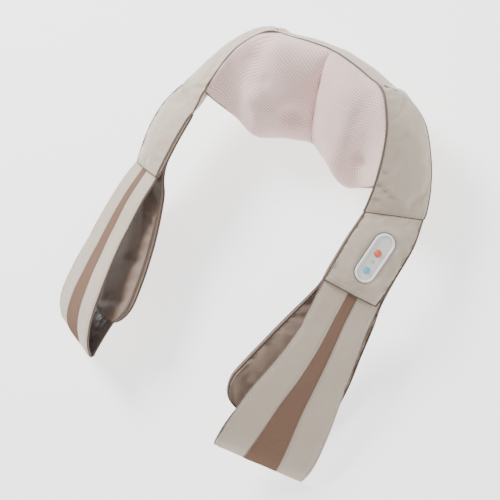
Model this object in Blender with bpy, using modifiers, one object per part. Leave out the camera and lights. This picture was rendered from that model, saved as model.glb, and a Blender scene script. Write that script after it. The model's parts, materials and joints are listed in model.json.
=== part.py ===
"""Shiatsu neck massager: a U-shaped padded yoke that lies on a table.

The neck section holds one motor that turns two kneading discs through a worm and two
gear pairs. Each arm ends in a padded paddle with a hand loop, and the wearer's left
arm (+X) carries the control panel. Lengths are in millimetres until they reach a mesh.
"""

import math

import bmesh
import bpy
from mathutils import Matrix, Vector

MM = 0.001
NAME = "neck_massager"
GAP = 0.3  # between pieces that touch

# The yoke: +X is the wearer's left, -Y is where the arms point, Z = 0 is the table.
YOKE_SHIFT = 236.0  # moves the neck back, so that the origin is under the middle of the box
NECK_TILT = math.radians(38)  # slope of the massage face
NECK_CENTRE = (0, -55, 92)

# Padded covers
COVER_WALL = 3.0
MESH_WALL = 2.4
PAD_SIDES = 12
SEAM_HALF = 2.6  # half thickness where a pad is sewn flat at a seam
FLEX_GAP = 2.2  # room at the seam where an arm flexes
STRAP_THICK = 4.0
STRIPE_THICK = 1.0

# Gear train, in the neck's own frame: x across, y up the massage face, z out of it
DISC_X = 48.0
PINION_TEETH, GEAR_TEETH = 9, 36
WHEEL_TEETH = 18
WHEEL_RADIUS = 9.0
WORM_RADIUS = 4.5
COUNTER_X = WHEEL_RADIUS + WORM_RADIUS
PINION_RADIUS = (DISC_X - COUNTER_X) * PINION_TEETH / (PINION_TEETH + GEAR_TEETH)
GEAR_RADIUS = DISC_X - COUNTER_X - PINION_RADIUS
SHAFT_Z = -33.6  # height of the motor's axis
TOOTH_CLEARANCE = 0.35
GEAR_Z = (-29.2, -24.2)
PINION_Z = (-29.6, -23.4)
WHEEL_Z = (-37.2, -30.0)

HOUSING_HALF = 86.0
HOUSING_Y = (-48.0, 34.0)
HOUSING_Z = (-48.0, -19.5)
HOUSING_WALL = 2.5
HOUSING_CORNER = 30.0
LID_Z = (-19.2, -15.2)
SCREW_XY = ((22, 27), (22, -41), (-22, 27), (-22, -41))

OUTPUT_SHAFT_RADIUS = 4.0
BUSH_RADIUS = 7.0
DISC_Z = (-12.0, -5.0)
HEAD_ARM = 29.5  # from the disc's axis to a massage head's pin
HEAD_RADIUS = 13.0
HEAD_PIN_RADIUS = 2.5
TALL_HEAD, SHORT_HEAD = 26.5, 23.0

MOTOR_RADIUS = 11.0
MOTOR_Y = (-44.5, -13.0)

# Control panel
PANEL_CENTRE = (173.5, -187.5, 110.5)
PANEL_LENGTH, PANEL_WIDTH = 67.0, 27.0
PANEL_RIM = 3.4
RED_Y, BLUE_Y, LAMP_Y = 6.5, -18.0, -5.5
RED_RADIUS, BLUE_RADIUS, LAMP_RADIUS = 4.6, 4.2, 2.2
BUTTON_TRAVEL = 0.6

COLOURS = {
    "shell": (0.60, 0.55, 0.49),
    "mesh": (0.74, 0.60, 0.56),
    "taupe": (0.36, 0.29, 0.26),
    "stripe": (0.27, 0.17, 0.13),
    "housing": (0.08, 0.08, 0.09),
    "gear": (0.80, 0.78, 0.72),
    "steel": (0.55, 0.55, 0.57),
    "brass": (0.62, 0.45, 0.18),
    "head": (0.75, 0.36, 0.30),
    "rim": (0.85, 0.85, 0.84),
    "face": (0.62, 0.62, 0.62),
    "red": (0.80, 0.10, 0.06),
    "blue": (0.10, 0.45, 0.75),
    "green": (0.50, 0.75, 0.55),
    "board": (0.05, 0.25, 0.10),
}
METALS = ("steel", "brass")


def clear_scene():
    for obj in list(bpy.data.objects):
        bpy.data.objects.remove(obj, do_unlink=True)


def collection(name):
    made = bpy.data.collections.new(name)
    bpy.context.scene.collection.children.link(made)
    return made


def add_empty(name, matrix):
    empty = bpy.data.objects.new(name, None)
    PARTS.objects.link(empty)
    empty.matrix_world = matrix
    return empty


def paint(obj, colour):
    """Gives a piece a material of its own."""
    mat = bpy.data.materials.new(f"{obj.name}_{colour}")
    mat.use_nodes = True
    shader = mat.node_tree.nodes["Principled BSDF"]
    shader.inputs["Base Color"].default_value = (*COLOURS[colour], 1)
    shader.inputs["Metallic"].default_value = 1.0 if colour in METALS else 0.0
    shader.inputs["Roughness"].default_value = 0.35 if colour in METALS else 0.6
    obj.data.materials.append(mat)


def add_mesh(name, bm, colour, parent=None, smooth=40, home=None):
    """Turns a bmesh in millimetres into an object in metres."""
    bmesh.ops.recalc_face_normals(bm, faces=bm.faces)
    bmesh.ops.scale(bm, vec=(MM, MM, MM), verts=bm.verts)
    mesh = bpy.data.meshes.new(name)
    bm.to_mesh(mesh)
    bm.free()
    mesh.shade_smooth()
    mesh.set_sharp_from_angle(angle=math.radians(smooth))
    obj = bpy.data.objects.new(name, mesh)
    (home or PARTS).objects.link(obj)
    if parent:
        obj.parent = parent
    if colour:
        paint(obj, colour)
    return obj


def cut(obj, cutter):
    """Cuts a hole that follows the cutter, which stays in the scene as a guide."""
    cutter.hide_render = True
    cutter.display_type = "WIRE"
    boolean = obj.modifiers.new(f"cut_{cutter.name}", "BOOLEAN")
    boolean.operation = "DIFFERENCE"
    boolean.solver = "EXACT"
    boolean.object = cutter


def join(obj, other):
    """Adds a second solid to a piece; the other one stays in the scene as a guide."""
    cut(obj, other)
    obj.modifiers[-1].operation = "UNION"


# ---------------------------------------------------------------- solid builders


def ring_loft(rings, closed_ends=True):
    """A solid or a sleeve through rings of equal length."""
    bm = bmesh.new()
    made = [[bm.verts.new(p) for p in ring] for ring in rings]
    for first, second in zip(made, made[1:]):
        for k in range(len(first)):
            j = (k + 1) % len(first)
            bm.faces.new((first[k], first[j], second[j], second[k]))
    if closed_ends:
        bm.faces.new(list(reversed(made[0])))
        bm.faces.new(made[-1])
    return bm


def outline_solid(points, z_low, z_high):
    """A flat outline carried from one height to another."""
    return ring_loft([[(x, y, z) for x, y in points] for z in (z_low, z_high)])


def circle(radius, count=16, centre=(0, 0), phase=0.0):
    cx, cy = centre
    turns = [phase + 2 * math.pi * k / count for k in range(count)]
    return [(cx + radius * math.cos(t), cy + radius * math.sin(t)) for t in turns]


def rounded_box(x_low, x_high, y_low, y_high, radius, steps=6):
    corners = (
        (x_high - radius, y_high - radius, 0),
        (x_low + radius, y_high - radius, 90),
        (x_low + radius, y_low + radius, 180),
        (x_high - radius, y_low + radius, 270),
    )
    points = []
    for cx, cy, start in corners:
        for k in range(steps + 1):
            t = math.radians(start + 90 * k / steps)
            points.append((cx + radius * math.cos(t), cy + radius * math.sin(t)))
    return points


def turned(profile, count=16, centre=(0, 0)):
    """A solid turned round z from (radius, height) pairs that start and end on a flat."""
    cx, cy = centre
    rings = []
    for radius, z in profile:
        rings.append([(cx + x, cy + y, z) for x, y in circle(radius, count)])
    return ring_loft(rings)


def tube(outer, inner, z_low, z_high, count=16, centre=(0, 0)):
    """A ring with a square section."""
    cx, cy = centre
    rings = []
    for radius, z in ((outer, z_low), (outer, z_high), (inner, z_high), (inner, z_low)):
        rings.append([(cx + x, cy + y, z) for x, y in circle(radius, count)])
    return ring_loft(rings + rings[:1], closed_ends=False)


def welded(bm):
    bmesh.ops.remove_doubles(bm, verts=bm.verts, dist=1e-4)
    return bm


def gear_outline(teeth, root, tip, centre=(0, 0), phase=0.0):
    """Straight-sided teeth: four points a tooth."""
    points = []
    for tooth in range(teeth):
        for part, radius in ((-0.27, root), (-0.13, tip), (0.13, tip), (0.27, root)):
            t = phase + 2 * math.pi * (tooth + part) / teeth
            points.append((centre[0] + radius * math.cos(t), centre[1] + radius * math.sin(t)))
    return points


def smooth_rows(rows, steps):
    """Catmull-Rom rows between the given ones."""
    last = len(rows) - 1
    made = []
    for k in range(last):
        p0, p1 = rows[max(k - 1, 0)], rows[k]
        p2, p3 = rows[k + 1], rows[min(k + 2, last)]
        for step in range(steps):
            t = step / steps
            row = []
            for a, b, c, d in zip(p0, p1, p2, p3):
                row.append(
                    0.5 * (2 * b + (c - a) * t + (2 * a - 5 * b + 4 * c - d) * t * t
                           + (3 * b - a - 3 * c + d) * t * t * t)
                )
            made.append(row)
    made.append(list(rows[last]))
    return made


def mirrored(points, side):
    return [Vector((side * p[0], p[1] + YOKE_SHIFT, p[2])) for p in points]


def edge_rows(stations, side, steps):
    """Smooth rows of (inner edge, outer edge) and of the numbers that go with them."""
    rows = []
    for inner, outer, *numbers in stations:
        row = mirrored((inner, outer), side)
        row.append(Vector(tuple(numbers) + (0,) * (3 - len(numbers))))
        rows.append(row)
    return smooth_rows(rows, steps)


def pad_normals(rows, side):
    """Outward direction of the strip at each row."""
    mids = [(row[0] + row[1]) / 2 for row in rows]
    normals = []
    for k, row in enumerate(rows):
        along = mids[min(k + 1, len(rows) - 1)] - mids[max(k - 1, 0)]
        across = row[1] - row[0]
        normal = across.cross(along).normalized() * side
        normals.append(normal if normal.z > 0 else -normal)
    return normals


def pad_ring(row, normal):
    """A crowned section between two edges: row[2] holds its heights above and below."""
    mid, half = (row[0] + row[1]) / 2, (row[1] - row[0]) / 2
    points = []
    for k in range(PAD_SIDES):
        t = 2 * math.pi * (k + 0.5) / PAD_SIDES
        across = math.copysign(abs(math.cos(t)) ** 0.7, math.cos(t))
        height = row[2].x if math.sin(t) > 0 else row[2].y
        rise = math.copysign(abs(math.sin(t)) ** 0.8, math.sin(t)) * height
        points.append(mid + half * across + normal * rise)
    return points


def add_pad(name, stations, side, colour, steps=1):
    rows = edge_rows(stations, side, steps)
    normals = pad_normals(rows, side)
    rings = [pad_ring(row, normal) for row, normal in zip(rows, normals)]
    return add_mesh(name, ring_loft(rings), colour)


def add_sheet(name, rows, normals, thick, colour):
    """A flat band of the given thickness: each row holds the points across it."""
    rings = []
    for row, normal in zip(rows, normals):
        lift = normal * thick / 2
        rings.append([p + lift for p in row] + [p - lift for p in reversed(row)])
    return add_mesh(name, ring_loft(rings), colour)


def add_shell(name, stations, side, wall, colour, power, columns=10, steps=1):
    """A thin open shell: each section bulges from the chord between two edges."""
    bulges_up = stations[0][2][2] > 0
    rows = []
    for first, second, bulge in stations:
        row = mirrored((first, second), side)
        row.append(Vector((side * bulge[0], bulge[1], bulge[2])))
        rows.append(row)
    bm = bmesh.new()
    grid = []
    for first, second, bulge in smooth_rows(rows, steps):
        mid, half = (first + second) / 2, (first - second) / 2
        line = []
        for k in range(columns + 1):
            t = math.pi * k / columns
            across = math.copysign(abs(math.cos(t)) ** power, math.cos(t))
            p = mid + half * across + bulge * abs(math.sin(t)) ** power
            p.z = max(p.z, 0.0)
            line.append(bm.verts.new(p))
        grid.append(line)
    for a, b in zip(grid, grid[1:]):
        for k in range(columns):
            face = (a[k], a[k + 1], b[k + 1], b[k])
            bm.faces.new(face if (side > 0) == bulges_up else tuple(reversed(face)))
    bmesh.ops.scale(bm, vec=(MM, MM, MM), verts=bm.verts)
    mesh = bpy.data.meshes.new(name)
    bm.to_mesh(mesh)
    bm.free()
    mesh.shade_smooth()
    obj = bpy.data.objects.new(name, mesh)
    PARTS.objects.link(obj)
    solidify = obj.modifiers.new("wall", "SOLIDIFY")
    solidify.thickness = wall * MM
    solidify.offset = -1
    paint(obj, colour)
    return obj


# ---------------------------------------------------------------- padded covers

# Each station: inner edge, outer edge, height above and below the chord.
SHOULDER = (
    ((80, -3, 143), (97, 6, 117), SEAM_HALF, SEAM_HALF),
    ((88, -10, 148), (113, 4, 96), 3, 4),
    ((100, -24, 150), (138, -14, 92), 4, 4),
    ((116, -49, 147), (163, -48, 86), 4, 5),
    ((127, -82, 138), (179, -78, 79), 5, 5),
    ((133, -113, 130), (187, -98, 77), 5, 5),
    ((135, -138, 123), (191, -109, 78), 5, 5),
    ((135, -145, 122), (192, -115.5, 78), SEAM_HALF, SEAM_HALF),
)
CONTROL = (
    ((135, -145 - FLEX_GAP, 121.5), (192, -115.5 - FLEX_GAP, 78), SEAM_HALF, SEAM_HALF),
    ((135, -156, 122), (194, -126, 79), 8, 7),
    ((134, -180, 124), (200, -152, 81), 9, 8),
    ((133.5, -205, 123), (200.5, -187, 81), 9, 8),
    ((133, -228, 121), (197.5, -222, 74), 9, 8),
    ((133, -241, 120), (195, -238, 72), 6, SEAM_HALF),
)
STRAP = (
    ((134, -243.5, 122), (198, -240.5, 75)),
    ((137, -280, 115), (202, -278, 72)),
    ((136.5, -322, 111), (208, -320, 64)),
    ((132, -362, 112), (213, -362, 52)),
    ((124, -405, 113), (218, -402, 42)),
    ((118, -448, 106), (220.5, -440, 31)),
    ((112, -478, 92), (218, -466, 20)),
    ((107.5, -493, 77), (212, -481, 9)),
)
RETURN = (
    ((105, -489, 73), (204, -477, 6.5)),
    ((105, -470, 74), (194, -458, 10)),
    ((106, -448, 71), (180, -441, 17)),
    ((108, -430, 63), (164, -426, 20)),
)
PADDLE = (
    ((128, -244, 106), (197, -241, 57), SEAM_HALF, SEAM_HALF),
    ((123, -262, 97), (198, -259, 47), 6, 6),
    ((108, -309, 91), (200, -305, 29), 8, 8),
    ((97, -349, 89), (203, -346, 16), 8, 8),
    ((89, -383, 90), (202, -380, 11), 8, 8),
    ((85, -406, 91), (192, -404, 13), 7, 7),
    ((88, -423, 89), (178, -421, 21), 6, 5),
    ((97, -435, 84), (161, -434, 35), 4, 3),
    ((112, -441, 74), (146, -441, 48), 2, 2),
)

# Each station: upper edge, lower edge, bulge away from the chord.
BACK = (
    ((0, 8, 140), (0, -97, 34), (0, 33, -73)),
    ((40, 4, 140), (40, -105, 34), (0, 34, -71)),
    ((76, -5, 140), (74, -119, 42), (2, 34, -66)),
    ((93, 4, 114), (88, -120, 56), (4, 23, -54)),
    ((109, 1, 92), (102, -117, 76), (4, 7, -46)),
    ((136, -16, 85), (117, -117, 97), (3, 0, -36)),
    ((160, -50, 79), (129, -117, 115), (0, 0, -27)),
    ((176, -80, 71), (132, -121, 118), (-2, 0, -20)),
    ((184, -100, 69), (133, -132, 115), (-3, 0, -15)),
    ((188, -111, 71), (133, -141, 114), (-3, 0, -8)),
)
POD = (
    ((0.6, 6, 142), (0.6, -96, 40), (0, -12, 16)),
    ((10, 6, 142), (12, -96, 41), (0, -18, 26)),
    ((36, 2, 142), (36, -105, 41), (0, -25, 36)),
    ((60, -3, 142), (62, -119, 42), (0, -27, 36)),
    ((76, -7, 144), (80, -122, 50), (0, -21, 28)),
    ((90, -21, 150), (96, -119, 70), (0, -11, 14)),
    ((106, -44, 148), (110, -117, 92), (0, -5, 6)),
    ((118, -69, 141), (120, -117, 109), (0, -3, 4)),
    ((127, -101, 131), (127, -116, 121), (0, -1, 2)),
)


def add_covers():
    left_back = add_shell("back_cover", BACK, 1, COVER_WALL, "shell", 0.75)
    weld_halves(left_back)
    for side, word in ((1, "left"), (-1, "right")):
        add_shell(f"mesh_cover_{word}", POD, side, MESH_WALL, "mesh", 0.85)
        add_pad(f"shoulder_pad_{word}", SHOULDER, side, "shell")
        add_pad(f"arm_pad_{word}", CONTROL, side, "shell")
        add_pad(f"paddle_{word}", PADDLE, side, "taupe")
        add_strap(word, side)


def weld_halves(obj):
    """Mirrors the wearer's left half of a cover that is open at the middle plane."""
    mirror = obj.modifiers.new("mirror", "MIRROR")
    mirror.use_axis = (True, False, False)
    mirror.merge_threshold = 0.0001
    obj.modifiers.move(1, 0)


def add_strap(word, side):
    """The hand loop runs down from the seam, folds at its foot and comes back to the paddle."""
    rows = edge_rows(STRAP, side, 2)
    normals = pad_normals(rows, side)
    back_rows = edge_rows(RETURN, side, 2)
    back_normals = [-n for n in pad_normals(back_rows, side)]
    parted = [stripe_points(row, k / (len(rows) - 1)) for k, row in enumerate(rows)]
    parted_back = [stripe_points(row, 1.0) for row in back_rows]
    add_sheet(f"strap_{word}", parted + parted_back, normals + back_normals, STRAP_THICK, "shell")
    lift = STRAP_THICK / 2 + GAP + STRIPE_THICK / 2
    stripe = [[p + n * lift for p in row[1:3]] for row, n in zip(parted, normals)]
    add_sheet(f"strap_stripe_{word}", stripe, normals, STRIPE_THICK, "stripe")


def stripe_points(row, t):
    """Both edges of the strap and, between them, those of its stripe, which widens with t."""
    across = row[1] - row[0]
    start, end = 0.47 - 0.14 * t, 0.62 + 0.06 * t
    return [row[0], row[0] + across * start, row[0] + across * end, row[1]]


# ---------------------------------------------------------------- drive in the neck


def add_housing(neck):
    wall = HOUSING_WALL
    outer = rounded_box(-HOUSING_HALF, HOUSING_HALF, *HOUSING_Y, HOUSING_CORNER, 4)
    inner = rounded_box(
        -HOUSING_HALF + wall, HOUSING_HALF - wall,
        HOUSING_Y[0] + wall, HOUSING_Y[1] - wall, HOUSING_CORNER - wall, 4,
    )
    levels = (
        (outer, HOUSING_Z[0]), (outer, HOUSING_Z[1]), (inner, HOUSING_Z[1]),
        (inner, HOUSING_Z[0] + wall),
    )
    rings = [[(x, y, z) for x, y in points] for points, z in levels]
    rear = add_mesh("rear_housing", ring_loft(rings), "housing", neck)
    lid = add_mesh("front_housing", outline_solid(outer, *LID_Z), "housing", neck)
    for x, y in SCREW_XY:
        side = f"{'left' if x > 0 else 'right'}_{'upper' if y > 0 else 'lower'}"
        post = tube(4.0, 1.6, HOUSING_Z[0] + 1, HOUSING_Z[1], 12, (x, y))
        join(rear, add_mesh(f"post_{side}", post, None, neck, home=CUTTERS))
        hole = turned(((1.9, LID_Z[0] - 1), (1.9, LID_Z[1] + 1)), 12, (x, y))
        cut(lid, add_mesh(f"hole_{side}", hole, None, neck, home=CUTTERS))
        add_mesh(f"case_screw_{side}", screw(x, y), "steel", neck)
    for side in (1, -1):
        radius = BUSH_RADIUS + GAP
        hole = turned(((radius, LID_Z[0] - 1), (radius, LID_Z[1] + 1)), 16, (side * DISC_X, 0))
        cut(lid, add_mesh(f"bush_hole_{side}", hole, None, neck, home=CUTTERS))


def screw(x, y):
    shank, head = 1.3, 2.9
    top = LID_Z[1] + GAP
    profile = ((shank * 0.6, -38), (shank, -36), (shank, top), (head, top), (head, top + 1.2),
               (head * 0.7, top + 2.0))
    return turned(profile, 10, (x, y))


def add_motor(neck):
    """The motor's axis runs along y, so its pieces are turned upright and laid down."""
    low, high = MOTOR_Y
    can = ((MOTOR_RADIUS, low), (MOTOR_RADIUS, high), (3.5, high), (3.5, high - 1.2),
           (MOTOR_RADIUS - 1.2, high - 1.2), (MOTOR_RADIUS - 1.2, low))
    rings = [[(x, y, z) for x, y in circle(r)] for r, z in can]
    lay_down("motor_can", welded(ring_loft(rings + rings[:1], False)), "steel", neck)
    cap = turned(((MOTOR_RADIUS - 1.6, low + 0.2), (MOTOR_RADIUS - 1.6, low + 3.2)))
    lay_down("motor_end_cap", cap, "housing", neck)
    armature, shaft = 7.4, 1.5
    profile = ((armature, low + 5), (armature, high - 4), (shaft, high - 4), (shaft, 14))
    lay_down("motor_rotor", turned(profile), "brass", neck)
    for side, word in ((1, "left"), (-1, "right")):
        lay_down(f"motor_magnet_{word}", magnet(side, low + 5, high - 4), "housing", neck)
    lay_down("worm", worm(), "brass", neck)


def lay_down(name, bm, colour, neck):
    """Turns a piece that was made round z so that its axis is the motor's."""
    turn = Matrix(((1, 0, 0, 0), (0, 0, 1, 0), (0, -1, 0, SHAFT_Z), (0, 0, 0, 1)))
    bmesh.ops.transform(bm, matrix=turn, verts=bm.verts)
    return add_mesh(name, bm, colour, neck)


def magnet(side, low, high):
    """A curved bar between the armature and the can."""
    inner, outer = 7.9, MOTOR_RADIUS - 1.2 - GAP
    turns = [math.radians(90 - side * 90 - 60 + 120 * k / 6) for k in range(7)]
    shape = [(outer * math.cos(t), outer * math.sin(t)) for t in turns]
    shape += [(inner * math.cos(t), inner * math.sin(t)) for t in reversed(turns)]
    return outline_solid(shape, low, high)


def worm():
    """One thread round a bored core."""
    turns, sides, steps = 5, 10, 3
    pitch = 2 * math.pi * WHEEL_RADIUS / WHEEL_TEETH
    root, tip, bore = 2.9, WORM_RADIUS - TOOTH_CLEARANCE, 1.5 + GAP
    count = turns * steps
    low = -pitch * turns / 2
    rings = []
    for level in range(count + 1):
        z = low + pitch * level / steps
        ring = []
        for k in range(sides):
            t = 2 * math.pi * k / sides
            phase = (level / steps - k / sides) % 1.0
            radius = root + (tip - root) * (1 - abs(2 * phase - 1))
            ring.append((radius * math.cos(t), radius * math.sin(t), z))
        rings.append(ring)
    for z in (low + pitch * turns, low):
        rings.append([(x, y, z) for x, y in circle(bore, sides)])
    return ring_loft(rings + rings[:1], closed_ends=False)


def add_gear_pair(neck, word, side):
    """A countershaft gear takes the worm's motion down to the output gear."""
    counter, output = (side * COUNTER_X, 0), (side * DISC_X, 0)
    half_tooth = math.pi / PINION_TEETH
    wheel = gear_outline(WHEEL_TEETH, WHEEL_RADIUS - 1.5, WHEEL_RADIUS - TOOTH_CLEARANCE, counter)
    pinion = gear_outline(PINION_TEETH, PINION_RADIUS - 1.5, PINION_RADIUS - TOOTH_CLEARANCE,
                          counter, half_tooth)
    body = add_mesh(f"counter_gear_{word}", stepped_gear(wheel, pinion), "gear", neck, 30)
    bore_hole(body, f"counter_bore_{word}", 2.3, counter, neck)
    axle = turned(((2.0, HOUSING_Z[0] + HOUSING_WALL + GAP), (2.0, LID_Z[0] - GAP)), 10, counter)
    add_mesh(f"counter_axle_{word}", axle, "steel", neck)

    teeth = gear_outline(GEAR_TEETH, GEAR_RADIUS - 1.6, GEAR_RADIUS - TOOTH_CLEARANCE, output)
    gear = add_mesh(f"output_gear_{word}", outline_solid(teeth, *GEAR_Z), "gear", neck, 30)
    bore_hole(gear, f"output_bore_{word}", OUTPUT_SHAFT_RADIUS + GAP, output, neck)


def stepped_gear(wheel, pinion):
    """Wheel and pinion in one piece, joined by a thin shoulder disc."""
    bm = outline_solid(wheel, *WHEEL_Z)
    top = max(bm.faces, key=lambda f: f.calc_center_median().z)
    inner = [bm.verts.new((x, y, WHEEL_Z[1])) for x, y in pinion]
    upper = [bm.verts.new((x, y, PINION_Z[1])) for x, y in pinion]
    bm.faces.remove(top)
    rim = [v for v in bm.verts if abs(v.co.z - WHEEL_Z[1]) < 1e-6 and v not in inner]
    edges = loop_edges(bm, rim) + loop_edges(bm, inner)
    bmesh.ops.triangle_fill(bm, use_beauty=True, edges=edges)
    for k in range(len(inner)):
        j = (k + 1) % len(inner)
        bm.faces.new((inner[k], inner[j], upper[j], upper[k]))
    bm.faces.new(upper)
    return bm


def loop_edges(bm, loop):
    edges = []
    for k, vert in enumerate(loop):
        pair = (vert, loop[(k + 1) % len(loop)])
        edges.append(bm.edges.get(pair) or bm.edges.new(pair))
    return edges


def bore_hole(obj, name, radius, centre, neck):
    hole = turned(((radius, -60), (radius, 60)), 12, centre)
    cut(obj, add_mesh(name, hole, None, neck, home=CUTTERS))


def add_disc(neck, word, side):
    """Output shaft, its bush and the kneading disc with two massage heads of unlike height."""
    centre = (side * DISC_X, 0)
    shaft = turned(((OUTPUT_SHAFT_RADIUS, -44), (OUTPUT_SHAFT_RADIUS, DISC_Z[1] + 1)), 12, centre)
    add_mesh(f"output_shaft_{word}", shaft, "steel", neck)
    bush = tube(BUSH_RADIUS, OUTPUT_SHAFT_RADIUS + GAP, LID_Z[0], LID_Z[1] + 1.5, 16, centre)
    add_mesh(f"output_bush_{word}", bush, "brass", neck)
    disc = add_mesh(f"kneading_disc_{word}", disc_body(centre), "housing", neck)
    bore_hole(disc, f"disc_bore_{word}", OUTPUT_SHAFT_RADIUS + GAP, centre, neck)
    for place, way, height in (("upper", 1, TALL_HEAD), ("lower", -1, SHORT_HEAD)):
        spot = (centre[0], way * HEAD_ARM)
        bore_hole(disc, f"pin_hole_{word}_{place}", HEAD_PIN_RADIUS + GAP, spot, neck)
        pin = turned(((4.2, DISC_Z[0] - 1.4), (4.2, DISC_Z[0] - GAP), (HEAD_PIN_RADIUS, DISC_Z[0] - GAP),
                      (HEAD_PIN_RADIUS, DISC_Z[1] + 12)), 10, spot)
        add_mesh(f"head_pin_{word}_{place}", pin, "steel", neck)
        add_mesh(f"massage_head_{word}_{place}", massage_head(spot, height), "head", neck)


def disc_body(centre):
    """A flat bar with round ends and a waist that is as wide as its hub."""
    end, hub = 9.0, 13.0
    points = []
    for k in range(28):
        t = 2 * math.pi * k / 28
        reach = HEAD_ARM * abs(math.sin(t)) ** 1.5
        radius = hub + (end - hub) * abs(math.sin(t))
        points.append((centre[0] + radius * math.cos(t),
                       centre[1] + radius * math.sin(t) + math.copysign(reach, math.sin(t))))
    return outline_solid(points, *DISC_Z)


def massage_head(spot, height):
    """A domed knob with a blind bore for its pin, open at the foot."""
    foot, bore, top = DISC_Z[1] + 0.8, HEAD_PIN_RADIUS + GAP, DISC_Z[1] + 0.8 + height
    profile = [(bore, foot), (HEAD_RADIUS * 0.8, foot), (HEAD_RADIUS, foot + 4)]
    shoulder = foot + 9
    for k in range(5):
        t = math.radians(90 * k / 5)
        profile.append((HEAD_RADIUS * math.cos(t), shoulder + (top - shoulder) * math.sin(t)))
    profile.append((1.2, top))
    profile.insert(0, (bore, DISC_Z[1] + 12 + 1))
    return turned(profile, 14, spot)


def add_board(neck):
    board = rounded_box(28, 52, -42.5, -33.5, 1, 2)
    add_mesh("driver_board", outline_solid(board, -40, -38.4), "board", neck)


# ---------------------------------------------------------------- control panel


def panel_frame():
    """z is out of the arm's face, y up the arm towards the shoulder."""
    up = Vector((0.06, 0.995, 0.0)).normalized()
    out = Vector((0.545, 0.0, 0.838))
    across = up.cross(out).normalized()
    out = across.cross(up)
    x, y, z = PANEL_CENTRE
    frame = Matrix((across, up, out)).transposed().to_4x4()
    frame.translation = Vector((x, y + YOKE_SHIFT, z)) * MM
    return frame


def pill(length, width, steps=12):
    """A strip with round ends, its length along y."""
    radius = width / 2
    reach = length / 2 - radius
    points = []
    for k in range(2 * steps + 2):
        t = math.pi * (k if k <= steps else k - 1) / steps
        points.append((radius * math.cos(t), radius * math.sin(t) + (reach if k <= steps else -reach)))
    return points


def pill_ring(outer, inner, low, high):
    rings = []
    for shape, z in ((outer, low), (outer, high), (inner, high), (inner, low)):
        rings.append([(x, y, z) for x, y in shape])
    return ring_loft(rings + rings[:1], closed_ends=False)


def add_panel(pad):
    frame = add_empty("panel_axis", panel_frame())
    outer = pill(PANEL_LENGTH, PANEL_WIDTH)
    inner = pill(PANEL_LENGTH - 2 * PANEL_RIM, PANEL_WIDTH - 2 * PANEL_RIM)
    face_shape = pill(PANEL_LENGTH - 2 * PANEL_RIM - 2 * GAP, PANEL_WIDTH - 2 * PANEL_RIM - 2 * GAP)
    add_mesh("panel_bezel", pill_ring(outer, inner, -1.0, 2.6), "rim", frame)
    face = add_mesh("panel_face", outline_solid(face_shape, -1.0, 0.9), "face", frame)
    tray_out = pill(PANEL_LENGTH - 4, PANEL_WIDTH - 4)
    tray_in = pill(PANEL_LENGTH - 7, PANEL_WIDTH - 7)
    tray = ring_loft([[(x, y, z) for x, y in s] for s, z in (
        (tray_out, -7.2), (tray_out, -1.3), (tray_in, -1.3), (tray_in, -6.0))])
    add_mesh("panel_back_shell", tray, "rim", frame)
    board = pill(PANEL_LENGTH - 8, PANEL_WIDTH - 8)
    add_mesh("panel_board", outline_solid(board, -5.7, -4.3), "board", frame)
    pocket = pill(PANEL_LENGTH - 3.4, PANEL_WIDTH - 3.4)
    seat = pill(PANEL_LENGTH + 2 * GAP, PANEL_WIDTH + 2 * GAP)
    hollow = ring_loft([[(x, y, z) for x, y in s] for s, z in (
        (pocket, -7.5), (pocket, -1.3), (seat, -1.3), (seat, 20))])
    cut(pad, add_mesh("panel_pocket", hollow, None, frame, home=CUTTERS))
    for name, y, radius, top, colour in (
        ("power_button", RED_Y, RED_RADIUS, 2.6, "red"),
        ("mode_button", BLUE_Y, BLUE_RADIUS, 2.4, "blue"),
        ("panel_lamp", LAMP_Y, LAMP_RADIUS, 1.2, "green"),
    ):
        hole = turned(((radius + GAP, -3), (radius + GAP, 4)), 20, (0, y))
        cut(face, add_mesh(f"{name}_hole", hole, None, frame, home=CUTTERS))
        profile = [(radius * 0.8, -4.0 + BUTTON_TRAVEL + GAP), (radius, -2.6), (radius, 1.2)]
        for share in (0.9, 0.62, 0.25):
            profile.append((radius * share, 1.2 + (top - 1.2) * math.sqrt(1 - share * share)))
        if name == "panel_lamp":
            profile = [(radius, -4.0), (radius, top)]
        add_mesh(name, turned(profile, 20, (0, y)), colour, frame)


def add_inlet(pad):
    """Socket for the adaptor's plug, sunk in the underside of the control arm."""
    spot = Vector((172, -222 + YOKE_SHIFT, 88)) * MM
    out = Vector((-0.59, 0.0, -0.81))
    frame = Matrix.Translation(spot) @ out.to_track_quat("Z", "Y").to_matrix().to_4x4()
    axis = add_empty("inlet_axis", frame)
    pocket = add_mesh("inlet_pocket", turned(((4.8, -8), (4.8, 20)), 20), None, axis, home=CUTTERS)
    cut(pad, pocket)
    profile = ((4.5, -7.6), (4.5, 2.5), (2.9, 2.5), (2.9, -6))
    rings = [[(x, y, z) for x, y in circle(r, 20)] for r, z in profile]
    add_mesh("dc_inlet", ring_loft(rings), "housing", axis)


def main():
    add_covers()
    place = Vector((NECK_CENTRE[0], NECK_CENTRE[1] + YOKE_SHIFT, NECK_CENTRE[2])) * MM
    neck = add_empty("neck_axis", Matrix.Translation(place) @ Matrix.Rotation(NECK_TILT, 4, "X"))
    add_housing(neck)
    add_motor(neck)
    add_board(neck)
    for side, word in ((1, "left"), (-1, "right")):
        add_gear_pair(neck, word, side)
        add_disc(neck, word, side)
    pad = bpy.data.objects["arm_pad_left"]
    add_panel(pad)
    add_inlet(pad)


clear_scene()
PARTS = collection(NAME)
CUTTERS = collection("cutters")
main()
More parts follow.
